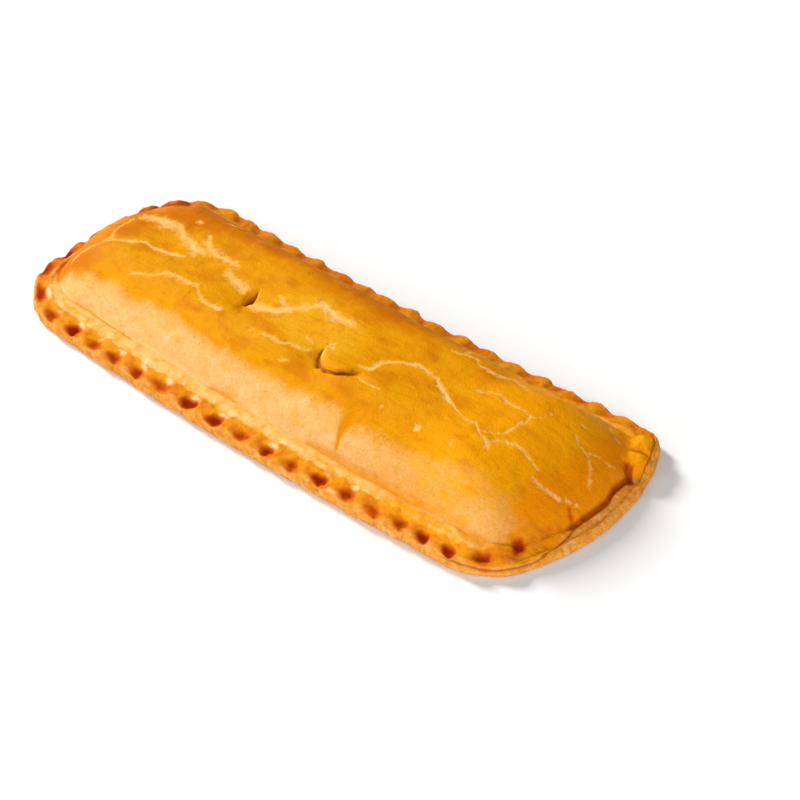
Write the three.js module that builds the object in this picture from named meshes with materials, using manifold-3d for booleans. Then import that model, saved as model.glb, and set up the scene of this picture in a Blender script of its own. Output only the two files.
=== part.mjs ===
// A whole rectangular empanada, lying flat: a lid of dough domed over the filling, sealed to a
// base sheet by a row of pressed crimps, with two steam vents cut through the top.
// Millimetres, +Z up. X runs along the length, -Y is the near long side.
import * as THREE from "three";
import { mergeVertices } from "three/addons/utils/BufferGeometryUtils.js";
import Module from "manifold-3d";

// Plan of the crust: a rounded rectangle whose four sides bow in or out.
const plan = {
  length: 201,
  width: 84.4,
  corners: { nearLeft: 19, nearRight: 11, farRight: 6.5, farLeft: 17.5 },
  bow: { near: 4, right: 12, far: -3, left: 8 },
};

// Section of each side: height of the rim and how far its wall leans in, how far in the dome's
// foot stands and how high, how far the flange swells before it, and how firmly the crimps are
// pressed. From 1 up they are at full depth, so they die out only along the right end.
const sections = {
  near: { rim: 4.8, lean: 0, footInset: 11.5, foot: 6.3, swell: 0.9, press: 6 },
  right: { rim: 3, lean: 1.6, footInset: 5.5, foot: 5, swell: 0, press: 0 },
  far: { rim: 4.8, lean: 0, footInset: 9.5, foot: 5.4, swell: 0.5, press: 6 },
  left: { rim: 4.5, lean: 0, footInset: 6.4, foot: 5, swell: 0.3, press: 6 },
};

// Slope of the dome on each side: how far in it runs to the crown, and how steeply it starts.
const slopes = {
  near: { run: 20, steep: 2.5 },
  right: { run: 42, steep: 2.4 },
  far: { run: 19, steep: 2.5 },
  left: { run: 22, steep: 3.2 },
};

// The slope runs further at the corners, but never more than this share of the way to the spine.
const slopeEase = { corners: 0.4, longest: 0.72 };

const crown = { height: 22.3, endDrop: 2.4 };
const sway = { height: 0.45, alongLength: 26, acrossLength: 13, acrossPhase: 1 };
const crimp = { pitch: 10.75, start: 1, depth: 2.7, squareness: 0.8, scallop: 0.35, bump: 0.3 };
const handmade = { seed: 11, pitSpread: 0.3, lipSpread: 0.28 };
// The crimps were pressed by eye, so their row drifts. It starts this far on, in crimps, and each
// step eases in some more between two places along the edge, also in crimps.
const driftStart = 0.77;
const drifts = [
  { from: 2.2, to: 4.8, by: -0.45 },
  { from: 9, to: 13, by: -0.32 },
  { from: 18.3, to: 21.2, by: 0.5 },
  { from: 45, to: 51, by: 0.27 },
];
// The dome's spine along X, how softly it ends, and how far the flange turns from square to the
// edge towards it.
const spine = { from: -66, to: 48, softness: 7, flangeTurn: 0.4 };
const stepsPerCrimp = 6;
const domeThinning = 3;

// The edge from the flat underside to the dome's foot: share of the flange, share of the rim's
// height, and how much of the scallop, of the pressed pit and of the swell each ring takes.
const edgeRings = [
  { share: 0.2, rise: 0, scallop: 0, pit: 0, swell: 0 },
  { share: 0.03, rise: 0.15, scallop: 0.2, pit: 0, swell: 0 },
  { share: 0, rise: 0.46, scallop: 0.5, pit: 0, swell: 0 },
  { share: 0.075, rise: 0.58, scallop: 0.6, pit: 0, swell: 0 },
  { share: 0.02, rise: 0.76, scallop: 1, pit: 0.05, swell: 0 },
  { share: 0.1, rise: 1, scallop: 1, pit: 0.12, swell: 0 },
  { share: 0.17, rise: 1.04, scallop: 0.8, pit: 0.45, swell: 0 },
  { share: 0.28, rise: 1.04, scallop: 0.5, pit: 1, swell: 0 },
  { share: 0.39, rise: 1.06, scallop: 0.3, pit: 0.7, swell: 0 },
  { share: 0.5, rise: 1.06, scallop: 0.1, pit: 0.08, swell: 0.3 },
  { share: 0.74, rise: 1, scallop: 0, pit: 0, swell: 1 },
];
const rampStart = 0.3;
const domeShares = [0.05, 0.12, 0.2, 0.3, 0.43, 0.6, 0.8, 0.95];

// Soft dips in the crown round the vents.
const dips = [
  { x: -28.5, y: -5.5, depth: 1.5, radius: 8 },
  { x: 11, y: -16.5, depth: 1.4, radius: 7.5 },
];

const slit = { x: -27.4, y: -4.6, length: 10, width: 2.2, depth: 5, turn: 1.9 };
const tongue = { x: 15, y: -9.4, long: 8.2, wide: 6.2, thick: 2.4, turn: 0.05 };
const tongueCut = { gap: 1.1, depth: 4, from: 3.2, to: 6.15 };
const cornerFold = { x: 98.6, y: 32, z: 4.6, long: 9.5, wide: 4.4, thick: 2.6, turn: 1.95 };
const lobeSides = { around: 20, down: 10 };

const wasm = await Module();
wasm.setup();

const halfLength = plan.length / 2;
const halfWidth = plan.width / 2;

function roundedPlan() {
  const { nearLeft, nearRight, farRight, farLeft } = plan.corners;
  const quarter = Math.PI / 2;
  const shape = new THREE.Shape();
  shape.moveTo(-halfLength, 0);
  shape.lineTo(-halfLength, nearLeft - halfWidth);
  shape.absarc(nearLeft - halfLength, nearLeft - halfWidth, nearLeft, 2 * quarter, 3 * quarter);
  shape.lineTo(halfLength - nearRight, -halfWidth);
  shape.absarc(halfLength - nearRight, nearRight - halfWidth, nearRight, -quarter, 0);
  shape.lineTo(halfLength, halfWidth - farRight);
  shape.absarc(halfLength - farRight, halfWidth - farRight, farRight, 0, quarter);
  shape.lineTo(farLeft - halfLength, halfWidth);
  shape.absarc(farLeft - halfLength, halfWidth - farLeft, farLeft, quarter, 2 * quarter);
  shape.lineTo(-halfLength, 0);
  return shape;
}

// Moves a point of the rounded rectangle out by the bow of the side that it lies on.
function bowed(point) {
  const acrossShare = point.y / halfWidth;
  const alongShare = point.x / halfLength;
  const endBow = alongShare > 0 ? plan.bow.right : plan.bow.left;
  const sideBow = acrossShare > 0 ? plan.bow.far : plan.bow.near;
  const x = point.x + endBow * alongShare * (1 - acrossShare ** 2);
  const y = point.y + sideBow * acrossShare * (1 - alongShare ** 2);
  return new THREE.Vector2(x, y);
}

// Holds a value between two limits, easing into each of them.
function softClamp(value, low, high, softness) {
  const capped = -softness * Math.log(Math.exp(-value / softness) + Math.exp(-high / softness));
  return softness * Math.log(Math.exp(capped / softness) + Math.exp(low / softness));
}

// Mixes the values of the four sides by a way of facing.
function mixFacing(sides, facing) {
  const weights = {
    near: Math.max(-facing.y, 0) ** 2,
    right: Math.max(facing.x, 0) ** 2,
    far: Math.max(facing.y, 0) ** 2,
    left: Math.max(-facing.x, 0) ** 2,
  };
  const mixed = {};
  for (const key of Object.keys(sides.near)) {
    mixed[key] = 0;
    for (const side of Object.keys(sides)) mixed[key] += weights[side] * sides[side][key];
  }
  return mixed;
}

// The dome's slope along a way in to the spine, which turns slowly from one side's to the next.
function slopeAlong(wayIn, room) {
  const { run, steep } = mixFacing(slopes, wayIn.clone().negate());
  const corner = slopeEase.corners * (2 * wayIn.x * wayIn.y) ** 2;
  return { run: Math.min(run * (1 + corner), slopeEase.longest * room), steep };
}

// A list of random values, up to a given width either side of their middle.
function spread(count, middle, width) {
  const draw = () => middle + width * (2 * THREE.MathUtils.seededRandom() - 1);
  return Array.from({ length: count }, draw);
}

// How many crimps lie between the start and a place along the edge.
function crimpsTo(place) {
  const eased = drifts.map((drift) => drift.by * THREE.MathUtils.smoothstep(place, drift.from, drift.to));
  return eased.reduce((total, step) => total + step, place + driftStart);
}

// One station for each step round the edge, with its section and its place in a crimp.
function edgeStations() {
  THREE.MathUtils.seededRandom(handmade.seed);
  const shape = roundedPlan();
  const around = shape.getLength();
  const crimps = Math.round(around / crimp.pitch);
  const count = crimps * stepsPerCrimp;
  const edge = [];
  for (let j = 0; j < count; j++) edge.push(bowed(shape.getPoint(j / count + crimp.start / around)));
  const middle = new THREE.Box2().setFromPoints(edge).getCenter(new THREE.Vector2());
  edge.forEach((point) => point.sub(middle));
  const strengths = spread(crimps, 1, handmade.pitSpread);
  const lumps = spread(count, 0, handmade.lipSpread);
  return edge.map((point, j) => {
    const along = edge[(j + 1) % count].clone().sub(edge[(j + count - 1) % count]).normalize();
    const square = new THREE.Vector2(-along.y, along.x);
    const section = mixFacing(sections, square.clone().negate());
    const pairX = (point.x + edge[(count - j) % count].x) / 2;
    const spinePoint = new THREE.Vector2(softClamp(pairX, spine.from, spine.to, spine.softness), 0);
    const inward = square.lerp(spinePoint.clone().sub(point).normalize(), spine.flangeTurn).normalize();
    const foot = point.clone().addScaledVector(inward, section.footInset);
    const wayIn = spinePoint.sub(foot);
    const room = wayIn.length();
    const crimpPlace = crimpsTo(j / stepsPerCrimp);
    const phase = 2 * Math.PI * crimpPlace;
    const press = Math.min(section.press, 1);
    const strength = strengths[Math.round(crimpPlace) % crimps];
    return {
      point,
      inward,
      section,
      foot,
      room,
      wayIn: wayIn.normalize(),
      slope: slopeAlong(wayIn, room),
      pit: Math.max(Math.cos(phase), 0) ** crimp.squareness * strength * press,
      bump: lumps[j] - Math.cos(phase) * press,
    };
  });
}

function edgeVertex(station, ring) {
  const { section, point, inward } = station;
  const leaning = section.lean * Math.min(ring.rise, 1) * (1 - ring.share);
  const scallop = ring.scallop * crimp.scallop * station.bump;
  const inset = leaning + ring.share * section.footInset - scallop;
  const ramp = THREE.MathUtils.smoothstep(ring.share, rampStart, 1);
  const edge = THREE.MathUtils.lerp(section.rim * ring.rise, section.foot, ramp);
  const level = edge + ring.swell * section.swell;
  const lump = ring.scallop * crimp.bump * station.bump - ring.pit * crimp.depth * station.pit;
  const z = ring.rise === 0 ? 0 : level + lump;
  return [point.x + inward.x * inset, point.y + inward.y * inset, z];
}

function domeVertex(station, share) {
  const { section, slope, foot, wayIn, room } = station;
  const climb = share * room;
  const x = foot.x + wayIn.x * climb;
  const y = foot.y + wayIn.y * climb;
  const up = 1 - (1 - Math.min(climb / slope.run, 1)) ** slope.steep;
  const top = crown.height - crown.endDrop * (x / halfLength) ** 2;
  const wave = Math.sin(x / sway.alongLength) * Math.cos(y / sway.acrossLength + sway.acrossPhase);
  let z = section.foot + (top - section.foot) * up + sway.height * wave * up;
  for (const dip of dips) {
    const gap = Math.hypot(x - dip.x, y - dip.y) / dip.radius;
    z -= dip.depth * Math.exp(-(gap ** 2));
  }
  return [x, y, z];
}

// Faces between two rings, where the upper ring may have fewer stations than the lower one.
function stitch(faces, lower, upper) {
  const ratio = lower.length / upper.length;
  for (let i = 0; i < upper.length; i++) {
    const next = (i + 1) % upper.length;
    for (let k = 0; k < ratio; k++) {
      const here = lower[i * ratio + k];
      const ahead = lower[(i * ratio + k + 1) % lower.length];
      faces.push(here, ahead, k < ratio / 2 ? upper[i] : upper[next]);
      if (k === Math.ceil(ratio / 2) - 1) faces.push(ahead, upper[next], upper[i]);
    }
  }
}

// Closes a ring with rungs that run from its near half to its far half.
function closeRing(faces, ring, facesUp) {
  const count = ring.length;
  const add = (a, b, c) => (facesUp ? faces.push(a, b, c) : faces.push(a, c, b));
  for (let i = 0; i < count / 2; i++) {
    const [near, nearNext] = [ring[i], ring[i + 1]];
    const [far, farNext] = [ring[(count - i) % count], ring[count - i - 1]];
    if (nearNext !== farNext) add(near, nearNext, farNext);
    if (near !== far) add(near, farNext, far);
  }
}

function crustGeometry() {
  const stations = edgeStations();
  const coarse = stations.filter((_, j) => j % domeThinning === 0);
  const vertices = [];
  const faces = [];
  const addRing = (from, vertexOf) =>
    from.map((station) => vertices.push(...vertexOf(station)) / 3 - 1);
  const rings = edgeRings.map((ring) => addRing(stations, (s) => edgeVertex(s, ring)));
  rings.push(addRing(stations, (s) => domeVertex(s, 0)));
  for (const share of domeShares) rings.push(addRing(coarse, (s) => domeVertex(s, share)));
  for (let i = 1; i < rings.length; i++) stitch(faces, rings[i - 1], rings[i]);
  closeRing(faces, rings[0], false);
  closeRing(faces, rings[rings.length - 1], true);
  const geometry = new THREE.BufferGeometry();
  geometry.setAttribute("position", new THREE.Float32BufferAttribute(vertices, 3));
  return geometry.setIndex(faces);
}

function solidFrom(geometry) {
  const bare = geometry.clone();
  bare.deleteAttribute("normal");
  bare.deleteAttribute("uv");
  const merged = mergeVertices(bare, 1e-4);
  return new wasm.Manifold(
    new wasm.Mesh({
      numProp: 3,
      vertProperties: merged.attributes.position.array,
      triVerts: new Uint32Array(merged.index.array),
    }),
  );
}

function geometryFrom(solid) {
  const mesh = solid.getMesh();
  const geometry = new THREE.BufferGeometry();
  geometry.setAttribute("position", new THREE.BufferAttribute(mesh.vertProperties, 3));
  return geometry.setIndex(new THREE.BufferAttribute(mesh.triVerts, 1));
}

// A flattened ball, turned about Z, for the tongue and the corner fold.
function lobe({ x, y, long, wide, thick, turn }, z) {
  const ball = new THREE.SphereGeometry(1, lobeSides.around, lobeSides.down).rotateX(Math.PI / 2);
  return ball.scale(long, wide, thick).rotateZ(turn).translate(x, y, z);
}

// The first vent: a lens-shaped slit that opens the crown.
function slitGeometry(topZ) {
  const half = slit.length / 2;
  const lens = new THREE.Shape();
  lens.moveTo(-half, 0);
  lens.quadraticCurveTo(0, -slit.width, half, 0);
  lens.quadraticCurveTo(0, slit.width, -half, 0);
  const cutter = new THREE.ExtrudeGeometry(lens, {
    depth: 2 * slit.depth,
    bevelEnabled: false,
    curveSegments: 6,
  });
  return cutter.rotateZ(slit.turn).translate(slit.x, slit.y, topZ - slit.depth);
}

// The second vent: a curved slit round the free end of the tongue.
function tongueCutGeometry(topZ) {
  const { long, wide, turn, x, y } = tongue;
  const { gap, depth, from, to } = tongueCut;
  const band = new THREE.Shape();
  band.absellipse(0, 0, long + gap, wide + gap, from, to, false);
  band.absellipse(0, 0, long - gap / 2, wide - gap / 2, to, from, true);
  const cutter = new THREE.ExtrudeGeometry(band, {
    depth: 2 * depth,
    bevelEnabled: false,
    curveSegments: 12,
  });
  return cutter.rotateZ(turn).translate(x, y, topZ - depth);
}

function empanadaGeometry() {
  const crownTop = crown.height - dips[0].depth;
  const tongueTop = crown.height - tongue.thick;
  let solid = solidFrom(crustGeometry());
  solid = solid.add(solidFrom(lobe(cornerFold, cornerFold.z)));
  solid = solid.subtract(solidFrom(slitGeometry(crownTop)));
  solid = solid.subtract(solidFrom(tongueCutGeometry(tongueTop)));
  solid = solid.add(solidFrom(lobe(tongue, tongueTop)));
  const geometry = geometryFrom(solid);
  geometry.computeBoundingBox();
  const middle = geometry.boundingBox.getCenter(new THREE.Vector3());
  return geometry.translate(-middle.x, -middle.y, -geometry.boundingBox.min.z);
}

const crust = new THREE.MeshStandardMaterial({ color: 0xd99a3c, roughness: 0.45, metalness: 0 });
const empanada = new THREE.Mesh(empanadaGeometry(), crust);
empanada.name = "empanada";

const model = new THREE.Group();
model.add(empanada);

export default model;
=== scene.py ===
import math
import bpy
import numpy as np
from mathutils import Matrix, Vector


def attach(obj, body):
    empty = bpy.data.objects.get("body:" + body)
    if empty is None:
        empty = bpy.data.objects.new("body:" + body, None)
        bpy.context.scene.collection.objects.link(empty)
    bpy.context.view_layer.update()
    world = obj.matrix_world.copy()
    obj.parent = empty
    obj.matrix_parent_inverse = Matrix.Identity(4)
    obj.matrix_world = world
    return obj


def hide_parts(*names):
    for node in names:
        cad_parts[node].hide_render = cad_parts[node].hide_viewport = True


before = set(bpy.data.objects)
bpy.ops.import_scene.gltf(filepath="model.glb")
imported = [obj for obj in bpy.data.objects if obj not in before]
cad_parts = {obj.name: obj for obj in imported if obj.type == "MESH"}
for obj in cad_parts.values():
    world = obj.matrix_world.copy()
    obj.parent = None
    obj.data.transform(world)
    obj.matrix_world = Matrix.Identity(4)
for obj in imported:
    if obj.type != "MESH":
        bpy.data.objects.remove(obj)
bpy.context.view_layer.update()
mm = 0.001  # the shape is worked out in millimetres, Blender has metres


# camera: the photograph's angle, aimed at a point on the table
cameraSettings = {"azimuth": 42.38, "elevation": 37.62, "distance": 735, "aim": (24, 8, 0), "lens": 106.83}


def makeCamera():
    turn = math.radians(cameraSettings["azimuth"])
    rise = math.radians(cameraSettings["elevation"])
    back = Vector((math.sin(turn) * math.cos(rise), -math.cos(turn) * math.cos(rise), math.sin(rise)))
    camera = bpy.data.objects.new("camera", bpy.data.cameras.new("camera"))
    bpy.context.scene.collection.objects.link(camera)
    camera.data.lens = cameraSettings["lens"]
    camera.location = (Vector(cameraSettings["aim"]) + back * cameraSettings["distance"]) * mm
    camera.rotation_euler = back.to_track_quat("Z", "Y").to_euler()
    bpy.context.scene.camera = camera


makeCamera()
print("camera placed")


# noise and easing for the hand-made unevenness; settings give a noise as size, seed, height, layers
scramble = {"axes": (374761393, 668265263, 1442695041), "seed": 974634599, "mix": 1274126177,
            "shifts": (13, 16), "levels": 65535}
plan = (1, 1, 0)  # leaves the height out of a noise


def scrambled(cell, seed):  # a random value from -1 to 1 for each whole place
    mixed = (cell * scramble["axes"]).sum(-1) + seed * scramble["seed"]
    mixed = (mixed ^ (mixed >> scramble["shifts"][0])) * scramble["mix"]
    mixed = mixed ^ (mixed >> scramble["shifts"][1])
    return (mixed & scramble["levels"]) / (scramble["levels"] / 2) - 1


def lumps(points, size, seed, height=1):  # smooth random heights up and down, with lumps about size wide
    scaled = points / size
    cell = np.floor(scaled).astype(np.int64)
    part = scaled - cell
    part = part**3 * (part * (part * 6 - 15) + 10)  # level at both ends of a cell
    total = np.zeros(points.shape[:-1])
    for corner in np.ndindex(2, 2, 2):
        weight = np.ones(points.shape[:-1])
        for axis in range(3):
            weight = weight * (part[..., axis] if corner[axis] else 1 - part[..., axis])
        total += weight * scrambled(cell + np.array(corner), seed)
    return height * total


def roughness(points, size, seed, height=1, layers=3):  # lumps with smaller lumps on them
    total = np.zeros(points.shape[:-1])
    for layer in range(layers):
        total += lumps(points, size / 2**layer, seed + layer) / 2**layer
    return height * total


def ease(low, high, value):  # 0 at low, 1 at high, smooth between, either way round
    share = np.clip((value - low) / (high - low), 0, 1)
    return share * share * (3 - 2 * share)


def span(rise, fall, value):  # rises from 0 to 1, then falls back to 0
    return ease(*rise, value) * ease(*fall, value)


def bell(value, middle, half):  # 1 at the middle, fading out past half a width either side
    return np.exp(-(((value - middle) / half) ** 2))


def patches(points, size, seed, low, high, layers=1):  # 1 where a noise is high, 0 where it is low
    return ease(low, high, roughness(points, size, seed, 1, layers))


def atLeast(least, share):  # a share squeezed into what is above the least
    return least + (1 - least) * share


def softMax(first, second, softness):  # the larger of two, rounded off where they cross
    return softness * np.logaddexp(first / softness, second / softness)


def softClamp(value, low, high, softness):  # holds values between two limits, easing into each
    return softMax(-softMax(-value, -high, softness), low, softness)


def unit(vectors):
    return vectors / np.linalg.norm(vectors, axis=1)[:, None]


def blurred(values, spread, axis):  # each value mixed with its neighbours round the edge
    reach = math.ceil(3 * spread)
    total, shares = np.zeros_like(values), 0
    for step in range(-reach, reach + 1):
        share = math.exp(-0.5 * (step / spread) ** 2)
        total += np.roll(values, step, axis=axis) * share
        shares += share
    return total / shares


# crust: the plan, the section of each side and the dome
crust = {
    "length": 201,
    "width": 84.4,
    "corners": {"nearLeft": 19, "nearRight": 11, "farRight": 6.5, "farLeft": 17.5},
    "cornerPoints": 200,
    "bow": {"near": 4, "right": 12, "far": -3, "left": 8},
    "crown": 22.3,
    "endDrop": 2.4,
    "sway": {"height": 0.45, "alongLength": 26, "acrossLength": 13, "acrossPhase": 1},
    "crimps": 51,
    "crimpPitch": 10.75,
    "stationsPerCrimp": 20,
    "start": 1,  # how far along the edge the first station is
}
sections = {  # a press above 1 carries the crimps on round the corners
    "near": {"rim": 4.8, "lean": 0, "footInset": 11.5, "foot": 6.3, "swell": 0.9, "press": 6},
    "right": {"rim": 3, "lean": 1.6, "footInset": 5.5, "foot": 5, "swell": 0, "press": 0},
    "far": {"rim": 4.8, "lean": 0, "footInset": 9.5, "foot": 5.4, "swell": 0.5, "press": 6},
    "left": {"rim": 4.5, "lean": 0, "footInset": 6.4, "foot": 5, "swell": 0.3, "press": 6},
}
slopes = {
    "near": {"run": 20, "steep": 2.5},
    "right": {"run": 42, "steep": 2.4},
    "far": {"run": 19, "steep": 2.5},
    "left": {"run": 22, "steep": 3.2},
}
slopeEase = {"corners": 0.4, "longest": 0.72, "softness": 1.5}
spine = {"from": -66, "to": 48, "softness": 7, "flangeTurn": 0.4, "cornerBlur": 5}

# the crimps were pressed by eye: their row starts this far on, in crimps, and then drifts by steps
driftStart = 0.68
drifts = [(2.2, 4.8, -0.45), (9, 13, -0.32), (18.3, 21.2, 0.5), (45, 51, 0.27)]  # from, to, by

# the edge from the flat underside to the dome's foot: share of the flange, share of the rim's
# height, scallop, swell, and how many rings run on to the next row
edgeProfile = [
    (0.2, 0, 0, 0, 2),
    (0.03, 0.15, 0.2, 0, 3),
    (0, 0.46, 0.5, 0, 3),
    (0.01, 0.6, 0.7, 0, 4),
    (0.025, 0.8, 1, 0, 4),
    (0.1, 1, 1, 0, 2),
    (0.17, 1.04, 0.8, 0, 3),
    (0.28, 1.04, 0.5, 0, 4),
    (0.39, 1.06, 0.3, 0, 3),
    (0.5, 1.06, 0.1, 0.3, 6),
    (0.74, 1, 0, 1, 7),
    (1, 1, 0, 0, 1),
]
footRow = len(edgeProfile) - 1
rampStart = 0.3  # share of the flange where it starts to rise to the dome's foot
domeRings = {"slope": 33, "top": 19, "slopeShare": 0.64, "last": 0.985}
scallops = {"out": 0.3, "up": 0.25}


def roundedEdge(count):
    halfLength, halfWidth = crust["length"] / 2, crust["width"] / 2
    corners = crust["corners"]
    arcs = [
        (-1, -1, corners["nearLeft"], math.pi),
        (1, -1, corners["nearRight"], 1.5 * math.pi),
        (1, 1, corners["farRight"], 0),
        (-1, 1, corners["farLeft"], 0.5 * math.pi),
    ]
    track = [np.array([[-halfLength, 0]])]
    for signX, signY, radius, angle in arcs:
        turn = angle + np.linspace(0, math.pi / 2, crust["cornerPoints"])
        middle = np.array([signX * (halfLength - radius), signY * (halfWidth - radius)])
        track.append(middle + radius * np.column_stack([np.cos(turn), np.sin(turn)]))
    track = np.concatenate(track + track[:1])
    gone = np.concatenate([[0], np.cumsum(np.hypot(*np.diff(track, axis=0).T))])
    places = (np.arange(count) / count * gone[-1] + crust["start"]) % gone[-1]
    alongShare = np.interp(places, gone, track[:, 0]) / halfLength
    acrossShare = np.interp(places, gone, track[:, 1]) / halfWidth
    bow = crust["bow"]
    endBow = np.where(alongShare > 0, bow["right"], bow["left"])
    sideBow = np.where(acrossShare > 0, bow["far"], bow["near"])
    x = alongShare * (halfLength + endBow * (1 - acrossShare**2))
    y = acrossShare * (halfWidth + sideBow * (1 - alongShare**2))
    edge = np.column_stack([x, y])
    return edge - (edge.min(0) + edge.max(0)) / 2


def profileColumn(column, places):  # a smooth curve through one column of the edge's profile
    values = np.array([row[column] for row in edgeProfile], float)
    last = len(values) - 1
    base = np.clip(np.floor(places).astype(int), 0, last - 1)
    t = places - base
    before, here, ahead, beyond = (values[np.clip(base + step, 0, last)] for step in (-1, 0, 1, 2))
    bend = 2 * before - 5 * here + 4 * ahead - beyond
    twist = 3 * here - before - 3 * ahead + beyond
    return here + 0.5 * ((ahead - before) * t + bend * t**2 + twist * t**3)


def sideWeights(x, y):  # how much a way of facing belongs to each side
    return {
        "near": np.maximum(-y, 0) ** 2,
        "right": np.maximum(x, 0) ** 2,
        "far": np.maximum(y, 0) ** 2,
        "left": np.maximum(-x, 0) ** 2,
    }


def mixSides(weights, sides, key):
    return sum(weights[side] * sides[side][key] for side in sides)


def slopeAbove(wayIn, room):  # turns slowly from one side's slope to the next
    fan = sideWeights(-wayIn[:, 0], -wayIn[:, 1])
    corner = slopeEase["corners"] * (2 * wayIn[:, 0] * wayIn[:, 1]) ** 2
    run = mixSides(fan, slopes, "run") * (1 + corner)
    run = -softMax(-run, -slopeEase["longest"] * room, slopeEase["softness"])
    return run, mixSides(fan, slopes, "steep")


def crustSurface():
    count = crust["crimps"] * crust["stationsPerCrimp"]
    edge = roundedEdge(count)
    along = unit(np.roll(edge, -1, axis=0) - np.roll(edge, 1, axis=0))
    square = np.column_stack([-along[:, 1], along[:, 0]])
    square = unit(blurred(square, spine["cornerBlur"] * crust["stationsPerCrimp"] / crust["crimpPitch"], 0))
    weights = sideWeights(-square[:, 0], -square[:, 1])
    section = {key: mixSides(weights, sections, key) for key in sections["near"]}
    mirror = (count - np.arange(count)) % count
    pairX = (edge[:, 0] + edge[mirror, 0]) / 2
    spineX = softClamp(pairX, spine["from"], spine["to"], spine["softness"])
    spinePoint = np.column_stack([spineX, np.zeros(count)])
    inward = unit(square * (1 - spine["flangeTurn"]) + unit(spinePoint - edge) * spine["flangeTurn"])
    foot = edge + inward * section["footInset"][:, None]
    room = np.linalg.norm(spinePoint - foot, axis=1)
    wayIn = unit(spinePoint - foot)
    place = np.arange(count) / crust["stationsPerCrimp"]
    crimpPhase = place + driftStart + sum(by * ease(start, end, place) for start, end, by in drifts)
    press = np.minimum(section["press"], 1)

    # rings of the edge, from the underside to the dome's foot
    places = np.concatenate([row + np.arange(line[4]) / line[4] for row, line in enumerate(edgeProfile)])
    share, rise, scallop, swell = (profileColumn(column, places)[:, None] for column in range(4))
    bump = -np.cos(2 * math.pi * crimpPhase) * press
    edgeInset = section["lean"] * np.minimum(rise, 1) * (1 - share) + share * section["footInset"]
    edgeInset = edgeInset - scallop * scallops["out"] * bump
    ramp = ease(rampStart, 1, share)
    edgeZ = section["rim"] * rise * (1 - ramp) + section["foot"] * ramp + swell * section["swell"]
    edgeZ = np.where(places[:, None] == 0, 0, edgeZ + scallop * scallops["up"] * bump)

    # rings of the dome, from its foot up to the spine
    slopeShares = np.linspace(0, domeRings["slopeShare"], domeRings["slope"] + 1)[1:]
    topShares = np.linspace(domeRings["slopeShare"], domeRings["last"], domeRings["top"] + 1)[1:]
    climbShare = np.concatenate([slopeShares, topShares])[:, None]
    climb = climbShare * room
    inset = np.concatenate([edgeInset, section["footInset"] + climb])
    flat = np.concatenate([edge + inward * edgeInset[..., None], foot + wayIn * climb[..., None]])
    run, steep = slopeAbove(wayIn, room)
    up = 1 - (1 - np.minimum(climb / run, 1)) ** steep
    domeX, domeY = np.moveaxis(flat[len(places):], -1, 0)
    top = crust["crown"] - crust["endDrop"] * (domeX / (crust["length"] / 2)) ** 2
    sway = crust["sway"]
    wave = np.sin(domeX / sway["alongLength"]) * np.cos(domeY / sway["acrossLength"] + sway["acrossPhase"])
    domeZ = section["foot"] + (top - section["foot"] + sway["height"] * wave) * up
    z = np.concatenate([edgeZ, domeZ])
    whole = np.ones_like(z)
    surface = {
        "points": np.dstack([flat, z]),
        "inset": inset,
        "ring": np.concatenate([places, len(edgeProfile) + climbShare[:, 0]])[:, None] * whole,
        "climb": np.concatenate([0 * edgeZ, up]),
        "crimpPhase": crimpPhase * whole,
        "press": press * whole,
        "footInset": section["footInset"] * whole,
    }
    for side in weights:
        surface[side] = weights[side] * whole
    return surface


def outward(points):  # unit normals of a ring grid
    along = np.roll(points, -1, axis=1) - np.roll(points, 1, axis=1)
    across = np.gradient(points, axis=0)
    normal = np.cross(along, across)
    length = np.linalg.norm(normal, axis=-1, keepdims=True)
    return normal / np.maximum(length, np.finfo(float).tiny)


def edgeGrain(surface, stretch, depth):  # places for noise that is drawn out along the edge
    around = crust["crimps"] * crust["crimpPitch"] / stretch / (2 * math.pi)
    turn = 2 * math.pi * surface["crimpPhase"] / crust["crimps"]
    return np.stack([around * np.cos(turn), around * np.sin(turn), depth], axis=-1)


def axes(surface):  # x, y and z of every point, as views: to change z is to change the points
    return np.moveaxis(surface["points"], -1, 0)


def turned(surface, place):  # places along and across a mark that is turned in the plan
    x, y = axes(surface)[:2]
    x, y = x - place["x"], y - place["y"]
    cos, sin = math.cos(place["turn"]), math.sin(place["turn"])
    return x * cos + y * sin, y * cos - x * sin


def gapToLine(x, y, way):  # distance to a line through the given points
    best = np.full(x.shape, np.inf)
    for (ax, ay), (bx, by) in zip(way, way[1:]):
        dx, dy = bx - ax, by - ay
        share = np.clip(((x - ax) * dx + (y - ay) * dy) / (dx * dx + dy * dy), 0, 1)
        best = np.minimum(best, np.hypot(x - ax - share * dx, y - ay - share * dy))
    return best


def addTint(tint, name, mask):  # where a tint is there already, the stronger one holds
    tint[name] = np.maximum(tint.get(name, 0), mask)


surface = crustSurface()
print("crust surface", surface["points"].shape)


# dome: soft swells, blisters and brush strokes in the lid, and softer shoulders at the far side
dome = {
    "flatten": (1, 1, 0.6), "swell": (19, 51, 0.3), "smallSwell": (8.5, 52, 0.15), "blister": 0.16,
    "blisters": (4.5, 53, 0.25, 0.7), "strokes": (2.2, 54, 0.05), "strokeStretch": (0.4, 1, 1),
    "shown": (0.02, 0.3), "hipBlur": 16, "hipShown": (0.03, 0.35), "shoulder": 1.0,
    "shoulderShown": ((0.1, 0.5), (1.0, 0.8)),
}
farLeft = {"left": (0.02, 0.25), "y": (-5, 12)}  # where the far left corner starts and is whole

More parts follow.
